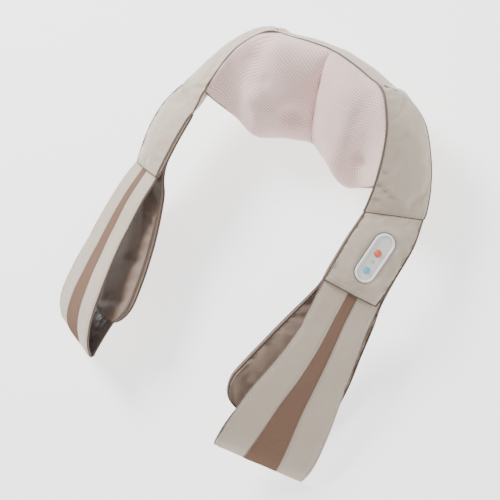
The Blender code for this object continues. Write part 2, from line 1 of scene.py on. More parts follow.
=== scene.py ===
"""Looks of a shiatsu neck massager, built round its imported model.

A beige faux-leather yoke holds two mesh-covered pods at the neck. Each arm ends in a hand
loop, a strap with a brown stripe in front of a taupe paddle, and the wearer's left arm
carries a small control panel. Lengths are in millimetres until they reach a mesh. A grid
is an array of rows of points, and side is 1 for the wearer's left and -1 for the right.
"""

import json
import math

import bmesh
import bpy
import numpy as np
from mathutils import Matrix, Vector, noise


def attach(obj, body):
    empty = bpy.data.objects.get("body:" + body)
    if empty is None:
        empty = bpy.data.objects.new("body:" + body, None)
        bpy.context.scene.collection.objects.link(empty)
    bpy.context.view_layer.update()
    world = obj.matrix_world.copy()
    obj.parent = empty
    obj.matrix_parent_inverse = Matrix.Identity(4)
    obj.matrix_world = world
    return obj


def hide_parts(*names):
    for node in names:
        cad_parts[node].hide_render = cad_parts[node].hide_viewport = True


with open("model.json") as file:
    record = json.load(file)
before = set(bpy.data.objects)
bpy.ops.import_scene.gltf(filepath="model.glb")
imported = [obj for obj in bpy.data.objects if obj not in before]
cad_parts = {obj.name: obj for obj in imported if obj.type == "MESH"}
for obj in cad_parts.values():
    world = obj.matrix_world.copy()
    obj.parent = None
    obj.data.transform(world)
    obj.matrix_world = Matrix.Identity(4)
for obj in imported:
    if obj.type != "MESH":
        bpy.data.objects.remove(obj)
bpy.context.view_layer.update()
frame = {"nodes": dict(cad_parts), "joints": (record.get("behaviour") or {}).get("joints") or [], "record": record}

MM = 0.001
SIDES = ((1, "left"), (-1, "right"))
FLEX = {joint["name"]: joint for joint in frame["joints"]}["arm_left_flex"]
SEAM_MIDDLE_Y = -131.35  # of the flexing seam, in the table's numbers below
YOKE_SHIFT = FLEX["pos_m"][1] / MM - SEAM_MIDDLE_Y

PIPING = 1.3
STITCH_STEP, STITCH_LENGTH, STITCH_RADIUS = 3.8, 2.8, 0.38
MESH_PITCH = 3.4  # of the holes in the pods' cover
ROW_STEP = 3.5  # between the rows of a padded piece
SHELL_STEPS = 12  # rows between two stations of the neck section
POD_COLUMNS, BACK_COLUMNS = 72, 56
POD_OUT = (0, -0.62, 0.79)  # roughly the way that the pods face
PADDLE_HALF = 32  # columns on each face of a paddle
STRIPE_COLUMNS = 13

CAMERA_RIGHT = Vector((0.7885, 0.5098, -0.3439))
CAMERA_DOWN = Vector((0.4857, -0.8593, -0.1602))
CAMERA_PLACE = (0.5987, 0.0390, 1.5115)
CAMERA_LENS = 86.4

# ---------------------------------------------------------------- tables of stations
# Inner edge, outer edge, and the pad's height above and below the line between them.

SHOULDER = (
    ((77, -4.5, 143.5), (81, -2, 140.5), (1.2, 1.2)),
    ((88, -10, 148), (105, 2, 112), (2.6, 3)),
    ((100, -24, 150), (135, -13, 95), (4, 4)),
    ((116, -49, 147), (163, -48, 86), (4, 5)),
    ((127, -82, 138), (179, -78, 79), (5, 5)),
    ((133, -113, 130), (187, -98, 77), (5, 5)),
    ((135, -138, 123), (191, -109, 78), (5, 5)),
    ((135, -145.6, 122), (192, -116, 78), (2.6, 2.6)),
)
CONTROL = (
    ((135, -146.4, 121.5), (192, -116.9, 78), (2.6, 2.6)),
    ((135, -156, 122), (194, -126, 79), (8, 7)),
    ((134, -180, 124), (200, -152, 81), (9, 8)),
    ((133.5, -205, 123), (200.5, -187, 81), (9, 8)),
    ((133, -228, 121), (197.5, -222, 74), (9, 8)),
    ((133, -241, 120), (195, -238, 72), (6, 2.6)),
)
STRAP = (
    ((134.5, -235, 117), (195.5, -231, 70)),
    ((135, -252, 117.5), (198.5, -249, 71.5)),
    ((137, -280, 115), (202, -278, 72)),
    ((136.5, -322, 111), (208, -320, 64)),
    ((132, -362, 112), (213, -362, 52)),
    ((124, -405, 113), (218, -402, 42)),
    ((118, -448, 106), (220.5, -440, 31)),
    ((112, -478, 92), (218, -466, 20)),
    ((107.5, -493, 77), (212, -481, 9)),
)
RETURN = (
    ((105, -489, 73), (204, -477, 6.5)),
    ((105, -470, 74), (194, -458, 10)),
    ((106, -448, 71), (180, -441, 17)),
    ((108, -430, 63), (164, -426, 20)),
)
PADDLE = (
    ((134, -198, 121), (199, -196, 74), (1.5, 1.5)),
    ((133, -222, 116.5), (198, -220, 68), (2, 2)),
    ((129.5, -242, 108), (197, -240, 58), (3, 3)),
    ((123, -262, 97), (198, -259, 47), (6, 6)),
    ((108, -309, 91), (200, -305, 29), (8, 8)),
    ((97, -349, 89), (203, -346, 16), (8, 8)),
    ((89, -383, 90), (202, -380, 10), (8, 8)),
    ((85, -406, 91), (192, -404, 12), (7, 7)),
    ((88, -423, 89), (178, -421, 21), (6, 5)),
    ((97, -435, 84), (161, -434, 35), (4, 3)),
    ((112, -441, 74), (146, -441, 48), (2, 2)),
)
# Upper edge, lower edge, and how far the section bulges from the line between them.
BACK = (
    ((0, 8, 140), (0, -97, 34), (0, 33, -73)),
    ((40, 4, 140), (40, -105, 34), (0, 34, -71)),
    ((76, -5, 140), (74, -119, 42), (2, 34, -66)),
    ((91, 1.5, 126.5), (88, -121, 57), (4, 23, -54)),
    ((109, 0.5, 107.5), (102, -118, 78), (4, 7, -46)),
    ((135.5, -14, 94), (117, -116, 102), (3, 0, -36)),
    ((162, -48, 85.5), (131, -114, 126), (0, 0, -27)),
    ((178.5, -78.5, 78.5), (133.5, -121, 127.5), (-2, 0, -20)),
    ((187, -98.5, 76.5), (134.5, -132, 124.5), (-3, 0, -15)),
    ((191, -109.5, 77.5), (135, -141, 122.5), (-3, 0, -8)),
)
POD = (
    ((0, 6.5, 141.5), (0, -97, 36.5), (0, -12, 16)),
    ((10, 6.5, 141.5), (12, -98, 37), (0, -18, 26)),
    ((36, 3, 141.5), (36, -105, 37), (0, -25, 36)),
    ((60, -2, 141.5), (62, -118, 40), (0, -27, 36)),
    ((77, -5.5, 143.5), (80, -122, 49), (0, -21, 28)),
    ((95, -18.5, 150), (96, -119.5, 70), (0, -11, 14)),
    ((113.5, -45, 147.5), (110, -117.5, 93), (0, -5, 6)),
    ((123.5, -72, 140.5), (122, -116, 112), (0, -3, 4)),
    ((131.5, -106, 131.5), (131, -114, 126.5), (0, -1, 1)),
)
# Where the heads lift a pod's cover or it sinks between them: side, station, how far the
# point is from the upper edge to the lower one, its radius and its height.
POD_BUMPS = (
    (-1, 2.9, 0.20, 19, 7.5),
    (-1, 3.6, 0.52, 15, 8.0),
    (-1, 1.4, 0.60, 15, -9.0),
    (-1, 3.0, 0.42, 10, -4.0),
    (-1, 4.4, 0.33, 12, -4.0),
    (1, 5.0, 0.58, 11, -6.0),
    (1, 2.6, 0.25, 22, 3.0),
    (1, 2.8, 0.62, 18, 4.0),
)
# The stripe's edges as shares of the strap's width, at the seam, half way and at the fold
STRIPE = ((0.46, 0.62), (0.385, 0.61), (0.333, 0.705))

# Control panel: its own x runs across the arm, y up it and z out of it
PANEL_CENTRE = np.array((173.5, -187.5 + YOKE_SHIFT, 110.5))
PANEL_UP = Vector((0.06, 0.995, 0.0)).normalized()
PANEL_OUT = Vector((0.545, 0.0, 0.838))
PANEL_LENGTH, PANEL_WIDTH, PANEL_RIM = 67.0, 27.0, 3.4
RED_Y, BLUE_Y, LAMP_Y = 6.5, -18.0, -5.5
RED_RADIUS, BLUE_RADIUS, LAMP_RADIUS = 4.6, 4.2, 2.2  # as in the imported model


# ---------------------------------------------------------------- rows and grids


def place(points, side):
    return np.asarray(points, float) * (side, 1, 1) + (0, YOKE_SHIFT, 0)


def spline_rows(rows, steps=20):
    """Catmull-Rom rows between the given ones."""
    rows = np.array([np.hstack([np.ravel(part) for part in row]) for row in rows], float)
    last = len(rows) - 1
    made = []
    for k in range(last):
        a, b, c, d = rows[max(k - 1, 0)], rows[k], rows[k + 1], rows[min(k + 2, last)]
        for t in np.arange(steps) / steps:
            made.append(0.5 * (2 * b + (c - a) * t + (2 * a - 5 * b + 4 * c - d) * t**2
                               + (3 * b - a - 3 * c + d) * t**3))
    return np.array(made + [rows[last]])


def lengths(points):
    """Distance along a line of points, from its start to each of them."""
    return np.hstack([0, np.cumsum(np.linalg.norm(np.diff(points, axis=0), axis=1))])


def even(rows, line, step):
    """Rows at even distances along a line that has one point a row."""
    run = lengths(line)
    count = max(2, round(run[-1] / step) + 1)
    wanted = np.linspace(0, run[-1], count)
    return np.stack([np.interp(wanted, run, column) for column in rows.T], axis=1)


def edge_rows(stations, side, step=ROW_STEP):
    """Both edges in the model's frame, and the numbers that go with each row."""
    rows = spline_rows(stations)
    rows = even(rows, (rows[:, :3] + rows[:, 3:6]) / 2, step)
    return place(rows[:, :3], side), place(rows[:, 3:6], side), rows[:, 6:]


def unit(vectors):
    return vectors / (np.linalg.norm(vectors, axis=-1, keepdims=True) + 1e-12)


def grid_normals(grid, closed):
    along = np.gradient(grid, axis=0)
    if closed:
        across = np.roll(grid, -1, axis=1) - np.roll(grid, 1, axis=1)
    else:
        across = np.gradient(grid, axis=1)
    normals = unit(np.cross(across, along))
    if closed:
        outward = grid - grid.mean(axis=1, keepdims=True)
        return normals * np.sign((normals * outward).sum())
    return normals


def noise_at(points, size, seed=0):
    """Smooth noise from -1 to 1 whose lumps are about as wide as size."""
    shape = points.shape[:-1]
    offset = Vector((seed * 7.3, seed * 3.1, seed * 5.7))
    values = [noise.noise(Vector(p) / size + offset) for p in points.reshape(-1, 3)]
    return np.array(values).reshape(shape)


def grid_faces(rows, count, closed):
    faces = []
    for r in range(rows - 1):
        for k in range(count if closed else count - 1):
            j = (k + 1) % count
            faces.append((r * count + k, r * count + j, (r + 1) * count + j, (r + 1) * count + k))
    return faces


def add_mesh(name, points, faces, material, smooth=50):
    mesh = bpy.data.meshes.new(name)
    mesh.from_pydata((np.asarray(points) * MM).tolist(), [], faces)
    bm = bmesh.new()
    bm.from_mesh(mesh)
    bmesh.ops.recalc_face_normals(bm, faces=bm.faces)
    bm.to_mesh(mesh)
    bm.free()
    mesh.shade_smooth()
    mesh.set_sharp_from_angle(angle=math.radians(smooth))
    mesh.materials.append(material)
    obj = bpy.data.objects.new(name, mesh)
    bpy.context.scene.collection.objects.link(obj)
    return obj


def add_grid(name, grid, material, closed=True, caps=True, smooth=50):
    """A mesh through a grid. The rows of a closed grid are rings, and caps close its ends."""
    rows, count = grid.shape[:2]
    points = list(grid.reshape(-1, 3))
    faces = grid_faces(rows, count, closed)
    if closed and caps:
        for row in (0, rows - 1):
            points.append(grid[row].mean(axis=0))
            for k in range(count):
                faces.append((row * count + k, row * count + (k + 1) % count, len(points) - 1))
    return add_mesh(name, points, faces, material, smooth)


def add_surface(name, grid, thick, material):
    """An open surface made solid: its second skin lies thick behind the first."""
    normals = grid_normals(grid, False)
    back = grid - normals * thick
    rows, count = grid.shape[:2]
    ring = np.concatenate([grid, back[:, ::-1]], axis=1)
    points = list(ring.reshape(-1, 3))
    faces = grid_faces(rows, 2 * count, True)
    for row in (0, rows - 1):
        base = row * 2 * count
        for k in range(count - 1):
            faces.append((base + k, base + k + 1, base + 2 * count - 2 - k, base + 2 * count - 1 - k))
    return add_mesh(name, points, faces, material)


def finish_piece(obj, body, slot, *nodes):
    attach(obj, body)
    if nodes:
        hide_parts(*nodes)
    return obj


# ---------------------------------------------------------------- materials


class Shader:
    """Builds a material's nodes: each method adds one node and returns its output."""

    def __init__(self, name, roughness, metallic=0.0):
        self.material = bpy.data.materials.new(name)
        self.material.use_nodes = True
        self.nodes = self.material.node_tree.nodes
        self.links = self.material.node_tree.links
        self.bsdf = self.nodes["Principled BSDF"]
        self.put("Roughness", roughness)
        self.put("Metallic", metallic)

    def put(self, socket, value):
        self.set(self.bsdf.inputs[socket], value)

    def set(self, socket, value):
        if isinstance(value, bpy.types.NodeSocket):
            self.links.new(value, socket)
        elif isinstance(value, tuple) and len(value) == 3 and socket.type == "RGBA":
            socket.default_value = (*value, 1)
        else:
            socket.default_value = value

    def add(self, kind, output, inputs=(), **properties):
        made = self.nodes.new(kind)
        for key, value in properties.items():
            setattr(made, key, value)
        for key, value in dict(inputs).items():
            self.set(made.inputs[key], value)
        return made.outputs[output]

    def place(self, kind="Object"):
        return self.add("ShaderNodeTexCoord", kind)

    def noise(self, scale, detail=2.0, where=None):
        inputs = {"Vector": where or self.place(), "Scale": scale, "Detail": detail}
        return self.add("ShaderNodeTexNoise", "Fac", inputs)

    def cells(self, scale, feature="F1", output="Distance"):
        inputs = {"Vector": self.place(), "Scale": scale}
        return self.add("ShaderNodeTexVoronoi", output, inputs, feature=feature)

    def math(self, operation, first, second=0.0):
        return self.add("ShaderNodeMath", 0, {0: first, 1: second}, operation=operation)

    def spread(self, value, low, high, low_to=0.0, high_to=1.0):
        inputs = {"Value": value, 1: low, 2: high, 3: low_to, 4: high_to}
        return self.add("ShaderNodeMapRange", 0, inputs, interpolation_type="SMOOTHSTEP")

    def mix(self, share, first, second):
        made = self.nodes.new("ShaderNodeMix")
        made.data_type = "RGBA"
        self.set(made.inputs[0], share)
        self.set(made.inputs[6], first)
        self.set(made.inputs[7], second)
        return made.outputs[2]

    def bump(self, height, strength, distance, below=None):
        inputs = {"Height": height, "Strength": strength, "Distance": distance}
        if below:
            inputs["Normal"] = below
        return self.add("ShaderNodeBump", 0, inputs)


def tint(colour, factor):
    return tuple(min(1.0, channel * factor) for channel in colour)


def leather(name, colour, roughness=0.5, gloss=0.3):
    """Faux leather: pebble grain about 1 mm wide over soft creasing, with uneven colour."""
    s = Shader(name, roughness)
    s.put("Specular IOR Level", gloss)
    blotch = s.noise(14, 3)
    fine = s.noise(160, 3)
    base = s.mix(blotch, tint(colour, 0.93), tint(colour, 1.05))
    s.put("Base Color", s.mix(s.spread(fine, 0.35, 0.75, 0.0, 0.35), base, tint(colour, 0.88)))
    s.put("Roughness", s.spread(s.noise(45, 2), 0.2, 0.8, roughness - 0.07, roughness + 0.08))
    grain = s.bump(s.cells(950), 0.28, 0.00022)
    s.put("Normal", s.bump(s.noise(120, 4), 0.22, 0.0007, grain))
    return s.material


def spacer_mesh(name, colour, painted_hole_shade, turn):
    """Knitted spacer mesh: rows of square holes between rounded threads, with painted shade in the holes."""
    s = Shader(name, 0.82)
    s.put("Sheen Weight", 0.25)
    s.put("Sheen Roughness", 0.5)
    where = s.add("ShaderNodeMapping", 0, {
        "Vector": s.place("UV"), "Rotation": (0, 0, turn), "Scale": (1 / MESH_PITCH,) * 3})
    split = s.nodes.new("ShaderNodeSeparateXYZ")
    s.set(split.inputs[0], where)
    legs = []
    for axis in (0, 1):
        share = s.math("FRACT", split.outputs[axis])
        legs.append(s.math("MULTIPLY", s.math("ABSOLUTE", s.math("SUBTRACT", share, 0.5)), 2.0))
    powers = [s.math("POWER", leg, 3.5) for leg in legs]
    reach = s.math("POWER", s.math("ADD", *powers), 1 / 3.5)
    thread = s.spread(reach, 0.40, 0.70)
    uneven = s.mix(s.noise(16, 3), tint(colour, 0.95), tint(colour, 1.04))
    # The holes take a darker colour than the threads: painted shade inside the mesh's holes.
    s.put("Base Color", s.mix(thread, painted_hole_shade, uneven))
    knit = s.bump(s.noise(1500, 2), 0.2, 0.0002)
    s.put("Normal", s.bump(thread, 0.55, 0.0007, knit))
    return s.material


def woven(name, colour, roughness=0.7, shine=0.3, crumples=0.0):
    """Satin lining: a fine diagonal twill with soft crumples."""
    s = Shader(name, roughness)
    s.put("Sheen Weight", shine)
    s.put("Sheen Roughness", 0.4)
    wave = s.add("ShaderNodeTexWave", "Fac", {
        "Vector": s.place(), "Scale": 420, "Distortion": 1.5, "Detail": 1.0}, bands_direction="DIAGONAL")
    cross = s.add("ShaderNodeTexWave", "Fac", {
        "Vector": s.place(), "Scale": 380, "Distortion": 1.0, "Detail": 1.0}, bands_direction="Y")
    weave = s.math("MULTIPLY", wave, cross)
    uneven = s.mix(s.noise(22, 3), tint(colour, 0.88), tint(colour, 1.08))
    s.put("Base Color", s.mix(s.spread(weave, 0.0, 0.7, 0.0, 0.25), uneven, tint(colour, 0.7)))
    crumple = s.bump(s.noise(75 - crumples * 80, 3), 0.35 + crumples, 0.0015 + crumples * 0.006)
    s.put("Normal", s.bump(weave, 0.3, 0.0002, crumple))
    return s.material


def moulded(name, colour, roughness, coat=0.0, texture=700):
    """Moulded plastic with a fine spark texture and slightly uneven gloss."""
    s = Shader(name, roughness)
    s.put("Coat Weight", coat)
    s.put("Coat Roughness", 0.12)
    s.put("Base Color", s.mix(s.noise(30, 2), tint(colour, 0.97), tint(colour, 1.03)))
    s.put("Roughness", s.spread(s.noise(60, 2), 0.2, 0.8, roughness - 0.04, roughness + 0.05))
    s.put("Normal", s.bump(s.noise(texture, 2), 0.06, 0.0001))
    return s.material


def metal(name, colour, roughness, scale=900):
    """Turned or drawn metal with fine tool marks."""
    s = Shader(name, roughness, 1.0)
    marks = s.noise(scale, 2)
    s.put("Base Color", s.mix(marks, tint(colour, 0.9), tint(colour, 1.06)))
    s.put("Roughness", s.spread(marks, 0.2, 0.8, roughness - 0.08, roughness + 0.1))
    s.put("Normal", s.bump(marks, 0.1, 0.00005))
    return s.material


BEIGE = (0.565, 0.475, 0.38)
TAUPE = (0.29, 0.205, 0.16)
BROWN = (0.224, 0.140, 0.102)
PINK = (1.0, 0.71, 0.665)
PIPING_BROWN = (0.15, 0.11, 0.085)

COVER = leather("cover_leather", BEIGE)
STRIPE_LEATHER = leather("stripe_leather", BROWN, 0.8, 0.0)
PADDLE_CLOTH = woven("paddle_cloth", TAUPE)
LINING = woven("loop_lining", tint(TAUPE, 0.5), 0.24, 0.1, 0.5)
PIPING_LEATHER = leather("piping_leather", PIPING_BROWN, 0.45)
PALE_THREAD = leather("pale_thread", (0.82, 0.74, 0.64), 0.6)
DARK_THREAD = leather("dark_thread", (0.20, 0.145, 0.11), 0.6)
PANEL_WHITE = moulded("panel_white", (0.97, 0.97, 0.96), 0.25, 0.4)
PANEL_GREY = moulded("panel_grey", (0.87, 0.85, 0.83), 0.45)
GASKET = moulded("gasket", (0.12, 0.11, 0.11), 0.6)
RED_DOME = moulded("power_red", (0.82, 0.13, 0.06), 0.2, 0.6)
BLUE_DOME = moulded("mode_blue", (0.16, 0.52, 0.78), 0.2, 0.6)
GREEN_LENS = moulded("lamp_green", (0.45, 0.80, 0.56), 0.2, 0.6)
CAD_FINISHES = {
    "acetal": moulded("acetal", (0.78, 0.77, 0.72), 0.45),
    "steel": metal("steel", (0.56, 0.56, 0.58), 0.3),
    "bronze": metal("bronze", (0.55, 0.36, 0.14), 0.4),
    "black_plastic": moulded("black_plastic", (0.025, 0.025, 0.028), 0.5, 0.0, 500),
    "head_plastic": moulded("head_plastic", (0.72, 0.30, 0.22), 0.25, 0.3),
    "copper_winding": metal("copper_winding", (0.60, 0.28, 0.14), 0.35, 1400),
    "circuit_board": moulded("circuit_board", (0.03, 0.14, 0.06), 0.35, 0.2),
    "panel_white": PANEL_WHITE,
    "panel_grey": PANEL_GREY,
}


# ---------------------------------------------------------------- seams and edges


def even_line(points, step):
    return even(points, points, step)


def add_cord(name, points, radius, body, material=None, step=4.0):
    """Piping: a round cord along a line of points."""
    line = even_line(np.asarray(points, float), step)
    curve = bpy.data.curves.new(name, "CURVE")
    curve.dimensions = "3D"
    curve.bevel_depth = radius * MM
    curve.bevel_resolution = 3
    curve.use_fill_caps = True
    spline = curve.splines.new("POLY")
    spline.points.add(len(line) - 1)
    for point, place_at in zip(spline.points, line):
        point.co = (*(place_at * MM), 1)
    curve.materials.append(material or PIPING_LEATHER)
    obj = bpy.data.objects.new(name, curve)
    bpy.context.scene.collection.objects.link(obj)
    return finish_piece(obj, body, "cover_leather")


def add_stitches(name, points, normals, body, material):
    """A run of thread stitches along a line that lies on a surface."""
    run = lengths(points)
    sides, rings = 5, ((0.0, 0.3, -0.9), (0.15, 1.0, 0.2), (0.5, 1.0, 0.6), (0.85, 1.0, 0.2),
                       (1.0, 0.3, -0.9))
    made, faces = [], []
    at = STITCH_STEP / 2
    while at + STITCH_LENGTH < run[-1]:
        base = len(made)
        for share, girth, lift in rings:
            here = at + STITCH_LENGTH * share
            centre, normal = [np.array([np.interp(here, run, column) for column in array.T])
                              for array in (points, normals)]
            ahead = np.array([np.interp(here + 0.1, run, column) for column in points.T])
            behind = np.array([np.interp(here - 0.1, run, column) for column in points.T])
            along = unit(ahead - behind)
            cross = np.cross(along, normal)
            for k in range(sides):
                t = 2 * math.pi * k / sides
                offset = cross * math.cos(t) + normal * math.sin(t)
                made.append(centre + STITCH_RADIUS * (offset * girth + normal * lift))
        faces += [tuple(base + v for v in face) for face in grid_faces(len(rings), sides, True)]
        faces.append(tuple(base + k for k in range(sides)))
        faces.append(tuple(base + (len(rings) - 1) * sides + k for k in range(sides)))
        at += STITCH_STEP
    obj = add_mesh(name, made, faces, material, 80)
    return finish_piece(obj, body, "cover_leather")


# ---------------------------------------------------------------- padded pieces


def pad_grid(inner, outer, heights, side, half=30, blunt=0.0):
    """Rings of a padded strip, with blunt or pinched edges. Columns 0 and half are the
    outer and the inner edge, and those between them are the upper face."""
    middle, reach = (inner + outer) / 2, (outer - inner) / 2
    along = np.gradient(middle, axis=0)
    normal = unit(np.cross(reach, along)) * side
    normal *= np.sign(normal[:, 2:])
    turns = np.linspace(0, 1, half + 1)
    across = 0.5 * np.cos(math.pi * turns) + 0.5 * (1 - 2 * turns)
    crown = (1 - np.abs(across) ** 2.6) ** 0.55
    crown[1:-1] = blunt + (1 - blunt) * crown[1:-1]
    top = (middle[:, None] + reach[:, None] * across[None, :, None]
           + normal[:, None] * (heights[:, :1] * crown)[..., None])
    under = (middle[:, None] + reach[:, None] * across[None, ::-1, None]
             - normal[:, None] * (heights[:, 1:2] * crown[::-1])[..., None])
    return np.concatenate([top, under[:, 1:-1]], axis=1)


def puff(grid, cap, pressure=4.0, shrink=0.035):
    """Cloth simulation of a stuffed cover: its edges stay and the rest swells and puckers."""
    rows, count = grid.shape[:2]
    pad = add_grid("stuffing", grid, COVER)
    group = pad.vertex_groups.new(name="seams")
    seams = [r * count + k for r in range(rows) for k in range(count)
             if r in (0, rows - 1) or min(k % (count // 2), -k % (count // 2)) <= 1]
    group.add(seams, 1.0, "REPLACE")
    cloth = pad.modifiers.new("cloth", "CLOTH")
    settings = cloth.settings
    settings.quality = 5
    settings.mass = 0.25
    settings.tension_stiffness = 20
    settings.compression_stiffness = 20
    settings.shear_stiffness = 8
    settings.bending_stiffness = 0.6
    settings.shrink_min = -shrink
    settings.vertex_group_mass = "seams"
    settings.use_pressure = True
    settings.uniform_pressure_force = pressure
    settings.effector_weights.gravity = 0
    cloth.collision_settings.use_collision = False
    for number in range(1, 21):
        bpy.context.scene.frame_set(number)
    result = pad.evaluated_get(bpy.context.evaluated_depsgraph_get()).to_mesh()
    moved = np.empty(len(result.vertices) * 3)
    result.vertices.foreach_get("co", moved)
    moved = moved.reshape(-1, 3)[: rows * count].reshape(grid.shape) / MM - grid
    bpy.data.objects.remove(pad)
    bpy.context.scene.frame_set(1)
    size = np.linalg.norm(moved, axis=2, keepdims=True)
    return grid + moved * np.minimum(1, cap / (size + 1e-9))


def seam_puckers(grid, depth, reach, seed, ends=(True, True)):
    """Small folds that run away from the seams at both ends of a pad."""
    run = lengths(grid.mean(axis=1))
    normals = grid_normals(grid, True)
    size = np.zeros(grid.shape[:2])
    for wanted, away in zip(ends, (run, run[-1] - run)):
        if wanted:
            fade = np.exp(-(away / reach) ** 2) * np.minimum(1, away / 3)
            size += fade[:, None]
    across = grid - grid.mean(axis=1, keepdims=True)
    fade = np.abs(np.sin(2 * math.pi * np.arange(grid.shape[1]) / grid.shape[1])) ** 0.5
    folds = noise_at(across, 7.0, seed) * fade
    return grid + normals * (size * folds * depth)[..., None]


def edge_puckers(grid, column, depth, reach, pitch, seed):
    """Gathers that run in from one edge of a pad, where its cover is sewn to the piping."""
    normals = grid_normals(grid, True)
    away = np.linalg.norm(grid - grid[:, column][:, None], axis=2)
    upper = np.arange(grid.shape[1]) < column
    fade = np.exp(-(away / reach) ** 2) * np.clip(away / 3 - 0.2, 0, 1) * upper
    run = lengths(grid[:, column])
    line = np.stack([run / pitch, run * 0, run * 0], axis=1)
    folds = noise_at(line[:, None] + away[..., None] * (0.04, 0.08, 0), 1.0, seed)
    return grid + normals * (folds * fade * depth)[..., None]


def lumps(grid, height, size, seed, closed=True):
    """Uneven stuffing under the cover."""
    half = grid.shape[1] // 2 if closed else grid.shape[1] - 1
    fade = np.abs(np.sin(math.pi * np.arange(grid.shape[1]) / half)) ** 0.5
    bulges = noise_at(grid, size, seed) * height * fade
    return grid + grid_normals(grid, closed) * bulges[..., None]


def surface_ring(grid, row, first, last, lift=0.1):
    """Points and normals along part of one row."""
    normals = grid_normals(grid, True)[row, first:last]
    return grid[row, first:last] + normals * lift, normals


def crease(grid, station, across, length, slant, depth):
    """A single fold across part of the upper face, as a groove with a raised lip."""
    half = grid.shape[1] // 2
    row = round(station * (grid.shape[0] - 1))
    column = round(half * (1 - across) / 2)
    centre = grid[row, column]
    along = unit(grid[min(row + 3, len(grid) - 1), column] - grid[max(row - 3, 0), column])
    normal = grid_normals(grid, True)[row, column]
    sideways = np.cross(normal, along)
    line = unit(sideways + slant * along)
    off = grid - centre
    down = off @ np.cross(normal, line)
    run = off @ line
    fade = np.exp(-(run / length) ** 2) * np.exp(-((off @ normal) / 12) ** 2)
    shape = -np.exp(-(down / 1.8) ** 2) + 0.7 * np.exp(-((down - 4.0) / 2.6) ** 2)
    return grid + normal * (shape * fade * depth)[..., None]


def beside(edge, other, gap):
    """A line that lies a gap outside one edge of a piece, away from its other edge."""
    return edge + unit(edge - other) * gap


def add_arm_covers(side, word):
    """Shoulder pad and arm pad, with the piping along their edges and the seam between; the dark cord at the arm
    pad's end is partly piping and partly painted shade where the pad overlaps the strap.
    """
    arm = f"arm_{word}"
    inner, outer, heights = edge_rows(SHOULDER, side)
    shoulder = pad_grid(inner, outer, heights, side)
    shoulder = puff(shoulder, 3.5, shrink=0.012)
    shoulder = lumps(shoulder, 0.7, 28, 3 + side)
    shoulder = seam_puckers(shoulder, 1.3, 16, 5 + side, (False, True))
    shoulder = crease(shoulder, 0.86, -0.55, 18, 0.45 * side, 3.2)
    shoulder = crease(shoulder, 0.93, -0.70, 12, 0.2 * side, 2.2)
    shoulder = crease(shoulder, 0.76, -0.75, 8, 0.8 * side, 1.8)
    pad = add_grid(f"{word}_shoulder_cover", shoulder, COVER)
    finish_piece(pad, "neck", "cover_leather", f"shoulder_pad_{word}")
    half = shoulder.shape[1] // 2
    inner_edge = beside(shoulder[:, half], shoulder[:, 0], 0.6)
    outer_edge = beside(shoulder[:, 0], shoulder[:, half], 0.5)
    add_cord(f"{word}_shoulder_inner_piping", inner_edge, PIPING, "neck")
    add_cord(f"{word}_shoulder_outer_piping", outer_edge, 0.9, "neck")

    inner, outer, heights = edge_rows(CONTROL, side)
    control = pad_grid(inner, outer, heights * 0.88, side, blunt=0.12)
    control = puff(control, 3.5, shrink=0.02)
    control = lumps(control, 0.5, 30, 9 + side)
    control = seam_puckers(control, 1.2, 12, 11 + side)
    if side > 0:
        control = seat_panel(control)
    pad = add_grid(f"{word}_arm_cover", control, COVER)
    finish_piece(pad, arm, "cover_leather", f"arm_pad_{word}")
    for name, first, second in (("upper", 1, half - 1), ("lower", -1, half + 1)):
        inner_edge = beside(control[:, second], control[:, first], 0.7)
        outer_edge = beside(control[:, first], control[:, second], 0.7)
        add_cord(f"{word}_arm_inner_{name}_piping", inner_edge, 1.2, arm)
        add_cord(f"{word}_arm_outer_{name}_piping", outer_edge, 1.2, arm)
    for row, place_at in ((1, "upper"), (-3, "lower")):
        points, normals = surface_ring(control, row, 2, half - 1)
        add_stitches(f"{word}_arm_{place_at}_stitches", points, normals, arm, PALE_THREAD)
    seam = (shoulder[-1, :half + 1] + control[0, :half + 1]) / 2
    add_cord(f"{word}_arm_seam_cord", seam, 0.7, "neck", DARK_THREAD if side > 0 else COVER, 3.0)
    # Dark cord at the arm pad's end: partly its piping, partly a painted shade line where the pad overlaps the
    # strap.
    add_cord(f"{word}_arm_end_piping_and_shade_line", control[-1, :half + 1], 0.9, arm, PIPING_LEATHER, 3.0)


def panel_matrix():
    across = PANEL_UP.cross(PANEL_OUT).normalized()
    return np.array((across, PANEL_UP, across.cross(PANEL_UP)))


def seat_panel(grid):
    """Presses the cover flat under the control panel's rim."""
    local = (grid - PANEL_CENTRE) @ panel_matrix().T
    reach = PANEL_LENGTH / 2 - PANEL_WIDTH / 2
    away = np.hypot(local[..., 0], np.maximum(0, np.abs(local[..., 1]) - reach)) - PANEL_WIDTH / 2
    upper = np.arange(grid.shape[1])[None, :] <= grid.shape[1] // 2
    near = np.clip(1 - (away - 0.5) / 9, 0, 1)
    share = near**2 * (3 - 2 * near)
    drop = np.where(upper, share * (-0.6 - local[..., 2]), 0)
    return grid + drop[..., None] * panel_matrix()[2]


